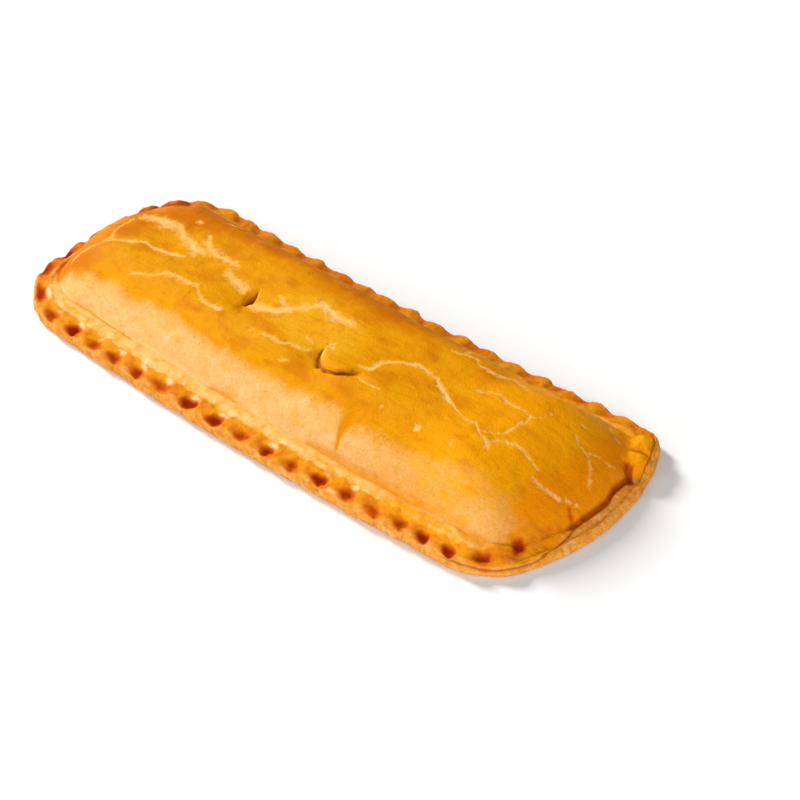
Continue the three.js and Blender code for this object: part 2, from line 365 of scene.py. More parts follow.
# glaze: deeper towards the far side and the left end, brighter along the right half; the far side and the
# left end are painted shade, the right half is painted light
glaze = {
    "far": (-2, 22), "farWander": (17, 55, 4), "farFade": (70, 10), "farRightShare": 0.4,
    "farLeftMore": 0.45, "endWander": (15, 56, 5), "leftEnd": (-74, -90), "leftShare": 0.5,
    "rightEnd": (82, 102), "rightHalfLight": (24, 84), "aboveSlope": (-19, 4.5),
    "aboveSlopeWander": (11, 57, 2), "aboveSlopeFade": (80, 50), "aboveSlopeShare": 0.35,
}
lemonPatch = {"x": -3, "y": -3, "long": 27, "wide": 12, "edge": (1.25, 0.4), "wander": (9, 58, 0.4)}


def farLeftCorner(surface):
    return ease(*farLeft["left"], surface["left"]) * ease(*farLeft["y"], axes(surface)[1])


def roundHips(surface):  # the dome's two far corners are drawn in to soft shoulders
    points = surface["points"]
    hip = 4 * surface["far"] * (1 - surface["far"]) * ease(*dome["hipShown"], surface["climb"])
    points += (blurred(points, dome["hipBlur"], 1) - points) * hip[..., None]


def tintGlaze(surface, flat, tint):
    x, y = axes(surface)[:2]
    far = ease(*glaze["far"], y + lumps(flat, *glaze["farWander"]))
    far = far * (glaze["farRightShare"] + glaze["farLeftMore"] * ease(*glaze["farFade"], x))
    shifted = x + lumps(flat, *glaze["endWander"])
    aboveSlope = bell(y + lumps(flat, *glaze["aboveSlopeWander"]), *glaze["aboveSlope"])
    deep = far + glaze["leftShare"] * ease(*glaze["leftEnd"], shifted)
    deep = deep + glaze["aboveSlopeShare"] * aboveSlope * ease(*glaze["aboveSlopeFade"], x)
    # deep: painted shade towards the far side and the left end, and a deeper band above the pale slope
    tint["deep"] = np.clip(deep, 0, 1)
    # painted light along the right half
    tint["rightHalfLight"] = ease(*glaze["rightHalfLight"], shifted)
    tint["amber"] = ease(*glaze["rightEnd"], shifted)
    along, across = (x - lemonPatch["x"]) / lemonPatch["long"], (y - lemonPatch["y"]) / lemonPatch["wide"]
    tint["lemon"] = ease(*lemonPatch["edge"], np.hypot(along, across) + lumps(flat, *lemonPatch["wander"]))


def swellDome(surface, tint):
    points, z = surface["points"], axes(surface)[2]
    flat = points * dome["flatten"]
    lift = lumps(flat, *dome["swell"]) + lumps(flat, *dome["smallSwell"])
    lift += dome["blister"] * patches(flat, *dome["blisters"])
    lift += roughness(flat * dome["strokeStretch"], *dome["strokes"])
    points += outward(points) * (lift * ease(*dome["shown"], surface["climb"]))[..., None]
    # the far left shoulder is a little lower, so the rim behind it shows
    z -= dome["shoulder"] * farLeftCorner(surface) * span(*dome["shoulderShown"], surface["climb"])
    tintGlaze(surface, flat, tint)


# cracks: where the glaze split as the lid swelled, paler dough shows; half width in mm, strength, way
cracks = [
    (1.2, 1.0, [(-87, 5), (-82, 7), (-78, 6), (-73, 7), (-69, 5), (-64, 4), (-60, 2), (-57, 3)]),
    (1.1, 1.0, [(-59, 7), (-54, 5), (-48, 4), (-42, 4)]),
    (0.5, 0.6, [(-61, 10), (-56, 6)]),
    (1.2, 0.9, [(-42, 0), (-38, -2), (-33, -3)]),
    (0.5, 0.7, [(-87, -13), (-84, -11), (-80, -9), (-75, -5), (-71, -6), (-67, -5), (-60, -4)]),
    (0.4, 0.6, [(-89, 2), (-88, -7), (-86, -10), (-87, -14), (-91, -18), (-94, -21)]),
    (0.6, 0.8, [(-67, -19), (-63, -18), (-57, -14), (-50, -13), (-46, -12), (-42, -14), (-38, -16),
                (-30, -16)]),
    (1.25, 1.0, [(-24, -7), (-21, -7), (-16, -6), (-14, -2), (-10, 2), (-7, 6), (-3, 5), (1, 4), (7, 5)]),
    (0.6, 0.6, [(-21, 1), (-16, -1)]),
    (0.6, 0.9, [(-11, -17), (-7, -16), (-3, -16), (2, -15), (6, -13)]),
    (0.7, 0.6, [(1, -9), (5, -10)]),
    (0.55, 0.7, [(24, -9), (27, -8), (27, -4), (29, -1), (36, 3), (44, 2), (53, -3)]),
    (0.4, 0.7, [(27, -13), (31, -14), (35, -14)]),
    (0.4, 0.5, [(1, -21), (4, -20)]),
    (0.4, 0.8, [(53, -3), (60, -6), (67, -6), (70, -8), (73, -9)]),
    (0.35, 0.7, [(70, -7), (75, -3), (76, 3), (76, 9), (78, 14)]),
    (0.4, 0.8, [(74, -9), (75, -7), (79, -3), (82, -3), (85, -4), (89, -5)]),
    (0.5, 0.8, [(90, -8), (92, -8), (95, -7), (98, -5)]),
    (0.45, 0.9, [(99, -3), (101, -2), (104, -1)]),
    (0.35, 0.6, [(87, 15), (90, 13), (92, 14), (94, 13), (96, 11), (98, 9), (100, 6)]),
    (0.3, 0.6, [(94, 15), (96, 16), (98, 17), (99, 20), (100, 23)]),
    (0.3, 0.7, [(86, 20), (88, 20)]),
    (0.3, 0.7, [(88, 30), (92, 28), (95, 28)]),
    (0.5, 0.7, [(-62, 21), (-57, 24), (-58, 28), (-54, 33)]),
    (0.4, 0.7, [(-24, 22), (-20, 25), (-21, 29), (-17, 32), (-16, 35)]),
    (0.5, 0.7, [(41, 18), (40, 23), (44, 27), (43, 31)]),
    (0.45, 0.6, [(38, 16), (45, 19), (52, 16), (60, 20), (66, 18)]),
    (0.35, 0.6, [(56, 6), (62, 9), (68, 8), (76, 9)]),
]
flecks = [(9.5, -7.5), (11, -8.5), (-58, -1), (-15, -17), (-12, -18), (54, -18), (67, -16), (75, -10),
          (40, -18), (-70, 14)]
crackSettings = {
    "alongWander": (4, 61, 0.7), "acrossWander": (4, 65, 0.7), "breaks": (6, 69, 0.65),
    "depth": 0.26, "fleck": 0.55, "fade": 0.7, "onTop": (0.05, 0.2),
    "far": 4.0,  # half widths away where nothing of a crack is left
}


def openCracks(surface, tint):
    x, y, z = axes(surface)
    flat = surface["points"] * plan
    x = x + roughness(flat, *crackSettings["alongWander"])
    y = y + roughness(flat, *crackSettings["acrossWander"])
    gap = np.full(x.shape, crackSettings["far"])
    for half, strength, way in cracks:
        faint = crackSettings["fade"] * (1 - strength)
        gap = np.minimum(gap, gapToLine(x, y, way) / half + faint)
    for fleckX, fleckY in flecks:
        gap = np.minimum(gap, np.hypot(x - fleckX, y - fleckY) / crackSettings["fleck"])
    gap = gap + lumps(flat, *crackSettings["breaks"])
    onTop = ease(*crackSettings["onTop"], surface["climb"])
    tint["crack"] = np.clip(gap / crackSettings["far"] + (1 - onTop), 0, 1)
    z -= crackSettings["depth"] * onTop * np.exp(-(np.maximum(gap, 0) ** 2))


# steam vents: a slit in a dimple, and a tongue of dough lifted from a curved cut; inside the slit and the
# crevice they are painted dark as shade
ventTop = (0.05, 0.3)  # shares of the climb to the top, vents are kept above them
dips = [
    {"x": -28.5, "y": -5.5, "depth": 1.5, "radius": 8},
    {"x": 11, "y": -16.5, "depth": 1.4, "radius": 7.5},
]
slit = {
    "x": -27.4, "y": -4.6, "turn": 1.9, "length": 10, "half": 1.4, "thinnest": 0.02,
    "wander": (1.6, 81, 0.3), "edge": (1.35, 0.55), "ends": (1.1, 0.9), "nearEnd": (0.7, -0.7),
    "depth": 2.2, "farDepth": 0.5, "farDark": 0.55, "beside": (1.1, 0.5), "dip": 0.9,
    "dipSpan": ((-0.9, 0), (2.8, 0)), "torn": 0.15, "tornSpan": ((-2.8, -1.2), (-0.3, -0.9)),
    "tornLumps": (1.3, 82), "tornPale": 0.35, "dipShade": 0.5, "dipShadeAlong": (-1.2, 0.8),
    "dipShadeAcross": (1.6, 3.2),
}
tongue = {  # front, leftSide and cut are angles round it, edge and the rings are shares of its radius
    "x": 17.2, "y": -9, "long": 8.3, "wide": 7, "turn": -0.2, "wander": (2.2, 83, 0.02),
    "front": ((-0.35, 0.1), (1.65, 1.1)), "leftSide": ((-1.45, -1.1), (0.3, -0.1)),
    "cut": ((-1.6, -1.2), (1.7, 1.3)), "edge": (1.03, 0.97), "lift": 0.8, "tip": (0.5, -0.9),
    "curl": 0.6, "curlRing": (0.72, 1.0), "drop": 0.5, "dropRing": ((0.98, 1.06), (1.9, 1.1)),
    "crevice": 0.13, "creviceLumps": (2, 84, 0.6), "creviceDepth": 0.9, "creviceDark": 0.75,
    "flake": 0.3, "flakeRing": (0.93, 0.07), "flakes": (1.8, 85, 0, 0.5), "flakePale": 0.6,
    "underLip": 0.6, "underLipRing": (0.72, 0.98), "dipShade": 0.45, "dipShadeRing": (1.4, 0.35),
    "dipShadeAngle": (-0.9, 0.7), "lineReach": 3, "lineLeast": 0.6, "lineMiddle": (0.7, 0.4),
}


def cutSlit(surface, tint, onTop):
    points, z = surface["points"], axes(surface)[2]
    along, across = turned(surface, slit)
    share = along / (slit["length"] / 2)
    half = slit["half"] * np.maximum(1 - share**2, slit["thinnest"])
    gap = np.abs(across + lumps(points, *slit["wander"])) / half
    nearEnd = ease(*slit["nearEnd"], share)
    opened = ease(*slit["edge"], gap) * ease(*slit["ends"], np.abs(share)) * onTop
    beside = ease(*slit["beside"], np.abs(share)) * onTop
    # the left side sinks into the slit, torn dough stands up along the right side
    z -= slit["dip"] * span(*slit["dipSpan"], across) * beside
    torn = span(*slit["tornSpan"], across) * beside
    z += slit["torn"] * torn * (1 + lumps(points, *slit["tornLumps"]))
    z -= slit["depth"] * opened * atLeast(slit["farDepth"], nearEnd)
    # the slit is painted dark as shade, darkest at its near end
    addTint(tint, "vent", opened * atLeast(slit["farDark"], nearEnd))
    addTint(tint, "torn", slit["tornPale"] * torn)
    # below the slit the glaze is painted browner as shade in the dip
    dipShade = bell(share, *slit["dipShadeAlong"]) * bell(across, *slit["dipShadeAcross"])
    addTint(tint, "groove", slit["dipShade"] * dipShade * onTop)


def liftTongue(surface, tint, onTop):
    points, z = surface["points"], axes(surface)[2]
    along, across = turned(surface, tongue)
    along, across = along / tongue["long"], across / tongue["wide"]
    radius = np.hypot(along, across) + lumps(points, *tongue["wander"])
    angle = np.arctan2(along, -across)  # 0 at the front, rising to the right
    front, leftSide, cut = (span(*tongue[key], angle) * onTop for key in ("front", "leftSide", "cut"))
    inside = ease(*tongue["edge"], radius)
    z += tongue["lift"] * ease(*tongue["tip"], across) * inside * onTop
    z -= tongue["curl"] * ease(*tongue["curlRing"], radius) ** 2 * cut * inside
    z -= tongue["drop"] * span(*tongue["dropRing"], radius) * cut
    wide = tongue["crevice"] * (1 + lumps(points, *tongue["creviceLumps"]))
    crevice = span(tongue["edge"][::-1], (1 + 2 * wide, 1 + wide), radius) * leftSide
    z -= tongue["creviceDepth"] * crevice
    # the crevice is painted dark as shade
    addTint(tint, "vent", tongue["creviceDark"] * crevice)
    flakes = patches(points, *tongue["flakes"]) * bell(radius, *tongue["flakeRing"]) * leftSide
    z += tongue["flake"] * flakes
    addTint(tint, "torn", tongue["flakePale"] * flakes)
    # the tongue's front face under its lip and the dip left of it are painted browner as shade
    addTint(tint, "groove", tongue["underLip"] * ease(*tongue["underLipRing"], radius) * inside * front)
    dipShade = bell(radius, *tongue["dipShadeRing"]) * bell(angle, *tongue["dipShadeAngle"])
    addTint(tint, "groove", tongue["dipShade"] * dipShade * onTop)
    # the shader paints the thin shadow line under the front from this distance
    gap = (radius - 1) * (tongue["long"] + tongue["wide"]) / 2
    tint["lipGap"] = np.clip(0.5 + gap / (2 * tongue["lineReach"]), 0, 1)
    tint["lipCut"] = front * atLeast(tongue["lineLeast"], bell(angle, *tongue["lineMiddle"]))


def cutVents(surface, tint):
    x, y, z = axes(surface)
    onTop = ease(*ventTop, surface["climb"])
    for dip in dips:
        away = np.hypot(x - dip["x"], y - dip["y"])
        z -= dip["depth"] * bell(away, 0, dip["radius"]) * onTop
    cutSlit(surface, tint, onTop)
    liftTongue(surface, tint, onTop)


# crimps: browned pits pressed into the rim, with a knuckle of dough between each two; rows are rows
# of the edge's profile
crimp = {
    "seed": 11, "inset": {"near": 2.5, "right": 7.3, "far": 3.0, "left": 2.7}, "insetVary": 0.3,
    "insetWander": (1.8, 22, 0.35), "alongVary": 0.4, "skewVary": 0.15,
    "alongWander": (2.4, 21, 0.6, 2), "foldEdge": (0.95, 1.3), "rows": (3.6, 4.6), "farFlat": 0.7,
}
knuckles = {
    "height": 0.4, "level": 0.35, "inner": 2.8, "innerBow": 1.7, "innerWander": (3, 23, 1, 2),
    "innerEdge": (0.6, -0.8), "outerWander": (2.2, 25, 0.7), "outerEdge": (-0.9, 0.9), "heat": 0.3,
    "unpressed": 0.3,
}
cornerRim = {"height": 0.7, "rows": ((3, 5), (9.5, 7.5)), "least": 0.35}
pit = {"depth": 1.0, "depthVary": 0.25, "long": 2.8, "wide": 2.0, "sizeVary": 0.15, "edge": (1.3, 0.3)}
stain = {"shift": 0.4, "long": 3.0, "wide": 2.1, "edge": (1.4, 0.25), "heat": 1.1, "heatVary": 0.35,
         "farCool": 0.55}
glow = {"shift": 0.2, "out": 0.6, "long": 5.0, "wide": 2.7, "edge": (1.2, 0.4), "heat": 0.5}
pitCrumbs = {"height": 0.7, "along": (0.5, 1.9), "across": (2.6, 0.9), "tear": (-0.7, 0), "level": 0.9,
             "grain": (1.6, 24, 0.7, 2), "fade": (85, 40)}


def crimpPlaces(surface):  # places along and across the nearest crimp, and how that crimp varies
    draw = np.random.default_rng(crimp["seed"])
    nearest = np.round(surface["crimpPhase"])
    vary = {}
    for name in ("shift", "wide", "deep", "tear", "skew"):
        vary[name] = draw.uniform(-1, 1, crust["crimps"])[nearest.astype(int) % crust["crimps"]]
    middle = sum(surface[side] * crimp["inset"][side] for side in crimp["inset"])
    across = surface["inset"] - middle - crimp["insetVary"] * vary["wide"]
    across = across + lumps(surface["points"], *crimp["insetWander"])
    along = (surface["crimpPhase"] - nearest) * crust["crimpPitch"] + crimp["alongVary"] * vary["shift"]
    along = along + crimp["skewVary"] * vary["skew"] * across
    return along + roughness(surface["points"], *crimp["alongWander"]), across, middle, vary


def boxRadius(along, across, long, wide):  # 1 at the border of a box with well rounded corners
    return np.cbrt(np.abs(along / long) ** 3 + np.abs(across / wide) ** 3)


def pressCrimps(surface, tint):
    points, z = surface["points"], axes(surface)[2]
    inset, far = surface["inset"], surface["far"]
    along, across, middle, vary = crimpPlaces(surface)
    press = surface["press"] * ease(*crimp["foldEdge"], foldRadius(surface))
    onRim = ease(*crimp["rows"], surface["ring"])
    relief = 1 - crimp["farFlat"] * far
    # a knuckle arches up from pit to pit, its inner edge bows to the dome, its outer edge stays pale
    arch = np.sqrt(np.abs(np.sin(math.pi * surface["crimpPhase"])))
    innerEdge = middle + knuckles["inner"] + knuckles["innerBow"] * (arch - 0.5)
    innerEdge = innerEdge + roughness(points, *knuckles["innerWander"])
    outerEdge = arch + lumps(points, *knuckles["outerWander"])
    rope = ease(*knuckles["innerEdge"], inset - innerEdge) * ease(*knuckles["outerEdge"], inset - outerEdge)
    rope = rope * onRim
    z += knuckles["height"] * rope * (arch - knuckles["level"]) * press * relief
    tint["rope"] = rope * atLeast(knuckles["unpressed"], press)
    # the rim stands higher round the far left corner
    crest = span(*cornerRim["rows"], surface["ring"]) * atLeast(cornerRim["least"], arch)
    z += cornerRim["height"] * farLeftCorner(surface) * crest * press
    size = 1 + pit["sizeVary"] * vary["wide"]
    pressed = ease(*pit["edge"], boxRadius(along, across, pit["long"] * size, pit["wide"])) * press
    z -= pit["depth"] * (1 + pit["depthVary"] * vary["deep"]) * pressed * relief
    # browned in the pits, toasted round them and on the far and left knuckles
    stained = boxRadius(along + stain["shift"], across, stain["long"] * size, stain["wide"])
    stained = ease(*stain["edge"], stained) * press * (stain["heat"] + stain["heatVary"] * vary["deep"])
    glowing = np.hypot((along + glow["shift"]) / glow["long"], (across + glow["out"]) / glow["wide"])
    toasted = glow["heat"] * ease(*glow["edge"], glowing) * press
    toasted = toasted + knuckles["heat"] * (surface["left"] + far) * rope
    tint["scorchAndShade"] = np.maximum(stained, toasted) * onRim * (1 - stain["farCool"] * far)
    # crumbs torn up where the press came out
    crumbs = bell(along, *pitCrumbs["along"]) * bell(across, *pitCrumbs["across"])
    crumbs = crumbs * ease(*pitCrumbs["tear"], vary["tear"])
    crumbs = np.clip(crumbs * (pitCrumbs["level"] + roughness(points, *pitCrumbs["grain"])), 0, 1)
    crumbs = crumbs * press * onRim * ease(*pitCrumbs["fade"], axes(surface)[0]) * relief
    z += pitCrumbs["height"] * crumbs
    addTint(tint, "torn", crumbs)


# right end: the lid's edge lies on the base sheet, painted brown where they meet, partly browning and partly
# shade under the lid's edge
lidEdge = {"inset": 5.6, "half": 1.0, "depth": 0.9, "onEnd": (0.3, 0.8), "ends": ((-14, -5), (28, 22)),
           "wander": (7, 91, 0.5)}
seam = {"depth": 0.3, "half": 0.7, "lowRow": 3.3, "highRow": 10.4, "wander": (9, 92, 0.35),
        "climb": (-25, -4), "fade": (-2, -8), "start": (75, 90), "dark": 0.7}
endMarks = {"places": [(101.3, -4.6, 0.9), (102.8, -5.6, 1.2), (104.8, -4.2, 1.0)], "depth": 0.25,
            "heat": 0.75}  # places are x, y and half a width


def layLidEdge(surface, tint):
    points, (x, y, z) = surface["points"], axes(surface)
    wander = lumps(points * (0, 1, 0), *lidEdge["wander"])
    groove = bell(surface["inset"] + wander, lidEdge["inset"], lidEdge["half"])
    groove = groove * span(*lidEdge["ends"], y) * ease(*lidEdge["onEnd"], surface["right"])
    z -= lidEdge["depth"] * groove
    addTint(tint, "groove", groove)
    # the seam runs on round the near corner as a thin dark line in the wall, painted shade in the join
    lowest = seam["lowRow"] + lumps(points * plan, *seam["wander"])
    row = lowest + (seam["highRow"] - lowest) * ease(*seam["climb"], y)
    line = bell(surface["ring"], row, seam["half"]) * ease(*seam["fade"], y) * ease(*seam["start"], x)
    points -= outward(points) * (seam["depth"] * line)[..., None]
    addTint(tint, "seam", seam["dark"] * line)
    for markX, markY, half in endMarks["places"]:
        mark = bell(np.hypot(x - markX, y - markY), 0, half)
        z -= endMarks["depth"] * mark
        addTint(tint, "scorchAndShade", endMarks["heat"] * mark)


# folded corner: the far end of the lid's edge is turned over, with a crease across it; its crease, outline
# and side crevice are painted dark as shade, its border darker orange as shade
cornerFold = {
    "x": 98.6, "y": 32, "z": 4.6, "long": 9.5, "wide": 4.4, "thick": 3.0, "turn": 1.95, "soft": 0.5,
    "wander": (3, 94, 0.06), "rows": (4.9, 5.9), "edge": (1.15, 0.8), "tintEdge": (1.05, 0.75),
    "topLumps": (3.4, 93, 0.3), "clears": {"rope": 1, "scorchAndShade": 1, "deep": 0.6, "amber": 0.7},
    "rope": 0.3, "border": (0.5, 0.95), "borderShade": 0.4,
}
foldCrease = {"along": -1.35, "wander": (2.5, 95, 0.4), "half": 0.8, "across": 0.4, "reach": (3.6, 2.2),
              "depth": 1.3, "dark": 0.6}
foldOutline = {"row": (5.8, 0.6), "along": (1.35, 1.1), "across": (3, 0), "depth": 0.25, "dark": 0.8}
foldSide = {"way": [(99.8, 24.2), (101, 22.8), (103.6, 21.2)], "half": 1.4, "depth": 0.8, "dark": 0.8,
            "heat": 0.6}


def foldRadius(surface):  # 1 at the border of the folded corner
    along, across = turned(surface, cornerFold)
    return np.hypot(along / cornerFold["long"], across / cornerFold["wide"])


def foldCorner(surface, tint):
    points, (x, y, z) = surface["points"], axes(surface)
    along, across = turned(surface, cornerFold)
    radius = foldRadius(surface) + lumps(points, *cornerFold["wander"])
    onRim = ease(*cornerFold["rows"], surface["ring"])
    fold = ease(*cornerFold["tintEdge"], radius) * onRim
    crease = bell(along, foldCrease["along"] + lumps(points, *foldCrease["wander"]), foldCrease["half"])
    crease = crease * ease(*foldCrease["reach"], np.abs(across + foldCrease["across"])) * fold
    top = cornerFold["z"] + cornerFold["thick"] * np.sqrt(np.maximum(1 - radius**2, 0))
    top = top - foldCrease["depth"] * crease + lumps(points, *cornerFold["topLumps"])
    blended = softMax(z, top, cornerFold["soft"])
    z += (blended - z) * ease(*cornerFold["edge"], radius) * onRim
    outline = bell(surface["ring"], *foldOutline["row"]) * ease(*foldOutline["across"], across)
    outline = outline * ease(*foldOutline["along"], np.abs(along) / cornerFold["long"])
    side = bell(gapToLine(x, y, foldSide["way"]), 0, foldSide["half"]) * onRim
    z -= foldOutline["depth"] * outline + foldSide["depth"] * side
    for name, share in cornerFold["clears"].items():
        tint[name] = tint[name] * (1 - share * fold)
    addTint(tint, "rope", cornerFold["rope"] * fold)
    # the fold's border and its side crevice are painted toasted and scorched as shade
    addTint(tint, "scorchAndShade", cornerFold["borderShade"] * ease(*cornerFold["border"], radius) * fold)
    addTint(tint, "scorchAndShade", foldSide["heat"] * side)
    # the outline, side crevice and crease are painted dark as shade
    for mask, settings in ((outline, foldOutline), (side, foldSide), (crease, foldCrease)):
        addTint(tint, "seam", settings["dark"] * mask)


# rim and flange: a lumpy, flaky lip, and a crumbly band with a crease along the dome's foot, whose line is
# painted shade
lip = {"rows": ((0.6, 1.4), (6.5, 4.5)), "lumps": (4.2, 32, 0.36), "grain": (1.7, 33, 0.18), "flake": 0.12,
       "flakeGrain": (1.5, 31), "flakeStretch": 7, "flakeLayers": 1.5, "paleRows": (6.5, 5.0),
       "paleLumps": (3, 39, 0.5), "underRows": (1.0, 0.3)}
rimTop = {"rows": ((3.6, 5), (11.3, 10.4)), "grain": (4.6, 34, 0.25), "fineGrain": (1.4, 35, 0.1)}
band = {  # shares are shares of the flange
    "share": (0.44, 0.56), "otherSides": 0.7, "streak": 0.15, "streakStretch": 6,
    "streakGrain": (1.6, 36), "pale": 0.75, "streakPale": 0.35, "paleFade": (80, -20),
    "paleLeast": 0.6, "endFade": (-50, -66), "endLoss": 0.25, "crumb": 0.2,
    "crumbs": (2.3, 37, 0, 0.5, 3), "crumbPatches": (8, 38, -0.3, 0.3), "crumbShare": (0.78, 0.58),
    "crumbFade": (70, 25), "crumbPale": 0.6,
}
footCrease = {"share": 0.96, "wander": (13, 41, 0.6, 2), "breaks": (14, 43), "breakEdge": (-0.15, 0.45),
              "unbroken": 0.6, "unbrokenX": (45, 40), "half": 0.7, "depth": 0.3, "right": 3,
              "widens": (10, 60), "lineReach": 3}
baseSheet = {"edge": (-0.3, -1.3), "ends": ((-22, -4), (26, 21))}


def roughLip(surface):
    points = surface["points"]
    layers = edgeGrain(surface, lip["flakeStretch"], axes(surface)[2] * lip["flakeLayers"])
    flakes = 1 - 2 * np.abs(roughness(layers, *lip["flakeGrain"]))
    lift = lumps(points, *lip["lumps"]) + lip["flake"] * flakes + roughness(points, *lip["grain"])
    return lift * span(*lip["rows"], surface["ring"])


def crumbleBand(surface, tint, onRim):  # drawn out along the edge between the pits and the dome's foot
    points, x = surface["points"], axes(surface)[0]
    share = surface["inset"] / surface["footInset"]
    sides = surface["near"] + band["otherSides"] * (surface["left"] + surface["far"])
    onBand = ease(*band["share"], share) * onRim * sides
    streaks = roughness(edgeGrain(surface, band["streakStretch"], surface["inset"]), *band["streakGrain"])
    crumbs = patches(points, *band["crumbs"]) * patches(points, *band["crumbPatches"]) * onBand
    crumbs = crumbs * ease(*band["crumbShare"], share) * ease(*band["crumbFade"], x) * (1 - tint["rope"])
    addTint(tint, "torn", band["crumbPale"] * crumbs)
    fade = atLeast(band["paleLeast"], ease(*band["paleFade"], x))
    fade = fade - band["endLoss"] * ease(*band["endFade"], x)
    tint["band"] = np.clip(onBand * (band["pale"] + band["streakPale"] * streaks), 0, 1) * fade
    return band["streak"] * onBand * streaks + band["crumb"] * crumbs


def creaseFoot(surface, tint):
    x, inset = axes(surface)[0], surface["inset"]
    around = edgeGrain(surface, 1, 0 * inset)
    line = footCrease["share"] * surface["footInset"] + roughness(around, *footCrease["wander"])
    unbroken = footCrease["unbroken"] * bell(x, *footCrease["unbrokenX"])
    shown = ease(*footCrease["breakEdge"], lumps(around, *footCrease["breaks"]) + unbroken) * surface["near"]
    wide = 1 + (footCrease["right"] - 1) * ease(*footCrease["widens"], x)
    # the shader paints the crease's dark line as shade from this distance
    tint["footGap"] = np.clip(0.5 + (inset - line) / (2 * footCrease["lineReach"] * wide), 0, 1)
    tint["footShown"] = shown
    return -footCrease["depth"] * shown * bell(inset, line, footCrease["half"] * wide)


def roughenFlange(surface, tint):
    points, ring = surface["points"], surface["ring"]
    onRim = span(*rimTop["rows"], ring)
    lift = onRim * (roughness(points, *rimTop["grain"]) + roughness(points, *rimTop["fineGrain"]))
    lift += roughLip(surface) + crumbleBand(surface, tint, onRim) + creaseFoot(surface, tint)
    points += outward(points) * lift[..., None]
    tint["wall"] = ease(*lip["paleRows"], ring + lumps(points, *lip["paleLumps"]))
    # at the right end the base sheet shows up to the lid's edge
    sheet = ease(*baseSheet["edge"], surface["inset"] - lidEdge["inset"])
    sheet = sheet * ease(*lidEdge["onEnd"], surface["right"]) * span(*baseSheet["ends"], axes(surface)[1])
    addTint(tint, "wall", sheet)
    tint["under"] = ease(*lip["underRows"], ring)


# pale slope: below a wandering line the near side is paler, partly dough that took little glaze and partly
# painted sheen; the far side's foot is paler too, and its edge along the far crest is a painted sheen line
paleSlope = {
    "way": [(-92, -26), (-73, -25), (-53, -25.5), (-22, -26.5), (-2, -26.5), (25, -26), (50, -25),
            (75, -22), (90, -19)],
    "wander": (9, 71, 1.2), "stretch": (1, 0.6, 0), "edge": (4.5, -3.5), "softer": 1.6,
    "softens": (45, 90), "fade": (115, 5), "end": 0.42, "endSpan": ((70, 88), (107, 90)),
    "rows": (-1.5, 0),  # rows of the edge's profile, up to the dome's foot
}
farSlope = {"pale": 0.8, "edge": (23.5, 28.5), "wander": (7, 73, 1.2), "fade": (98, 74)}
slopeCrease = {
    "way": [(35, -23), (34, -25), (33.3, -27), (32.8, -29), (33.6, -30.5)],
    "wander": (3, 72, 0.4), "half": 2.4, "taper": (-34, -23), "thinnest": 0.1, "depth": 0.35,
    "onSlope": (0.02, 0.1), "clears": 0.9, "gold": 0.7,
}


def shadeSlope(surface, tint):
    points, (x, y, z) = surface["points"], axes(surface)
    line = np.interp(x, *zip(*paleSlope["way"]))
    line = line + roughness(points * paleSlope["stretch"], *paleSlope["wander"])
    soft = 1 + paleSlope["softer"] * ease(*paleSlope["softens"], x)
    shown = ease(*paleSlope["fade"], x) + paleSlope["end"] * span(*paleSlope["endSpan"], x)
    near = ease(*paleSlope["edge"], (y - line) / soft) * shown
    far = ease(*farSlope["edge"], y + roughness(points, *farSlope["wander"]))
    far = farSlope["pale"] * far * surface["far"] * ease(*farSlope["fade"], x)
    pale = np.maximum(near, far) * ease(*paleSlope["rows"], surface["ring"] - footRow)
    # a crease runs down it and tapers off, painted darker gold as shade and clear of the painted sheen
    half = np.maximum(slopeCrease["half"] * ease(*slopeCrease["taper"], y), slopeCrease["thinnest"])
    gap = gapToLine(x + lumps(points, *slopeCrease["wander"]), y, slopeCrease["way"])
    crease = bell(gap, 0, half) * ease(*slopeCrease["onSlope"], surface["climb"])
    z -= slopeCrease["depth"] * crease
    tint["pale"] = pale * (1 - slopeCrease["clears"] * crease)
    tint["crease"] = slopeCrease["gold"] * crease


tint = {}
roundHips(surface)
relief = (swellDome, openCracks, cutVents, pressCrimps, layLidEdge, foldCorner, roughenFlange, shadeSlope)
for shape in relief:
    shape(surface, tint)
height = axes(surface)[2]
height[:] = np.maximum(height, 0)
height[0] = 0
print("relief done")


def ringFaces(rings, count):
    ring, step = np.meshgrid(np.arange(rings - 1), np.arange(count), indexing="ij")
    here, ahead = ring * count + step, ring * count + (step + 1) % count
    return np.stack([here, ahead, ahead + count, here + count], -1).reshape(-1, 4).tolist()


def ladderFaces(first, count, up):  # closes a ring with rungs from its near half to its far half
    faces = []
    for i in range(count // 2):
        corners = [first + i, first + i + 1, first + count - i - 1, first + (count - i) % count]
        face = list(dict.fromkeys(corners))
        if len(face) > 2:
            faces.append(face if up else face[::-1])
    return faces


def makePiece(name, vertices, faces, tint, material):
    mesh = bpy.data.meshes.new(name)
    mesh.from_pydata((vertices * mm).tolist(), [], faces)
    for key in tint:
        values = tint[key].ravel().astype(np.float32)
        mesh.attributes.new(key, "FLOAT", "POINT").data.foreach_set("value", values)
    mesh.materials.append(material)
    mesh.shade_smooth()
    piece = bpy.data.objects.new(name, mesh)
    bpy.context.scene.collection.objects.link(piece)
    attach(piece, "root")
    return piece


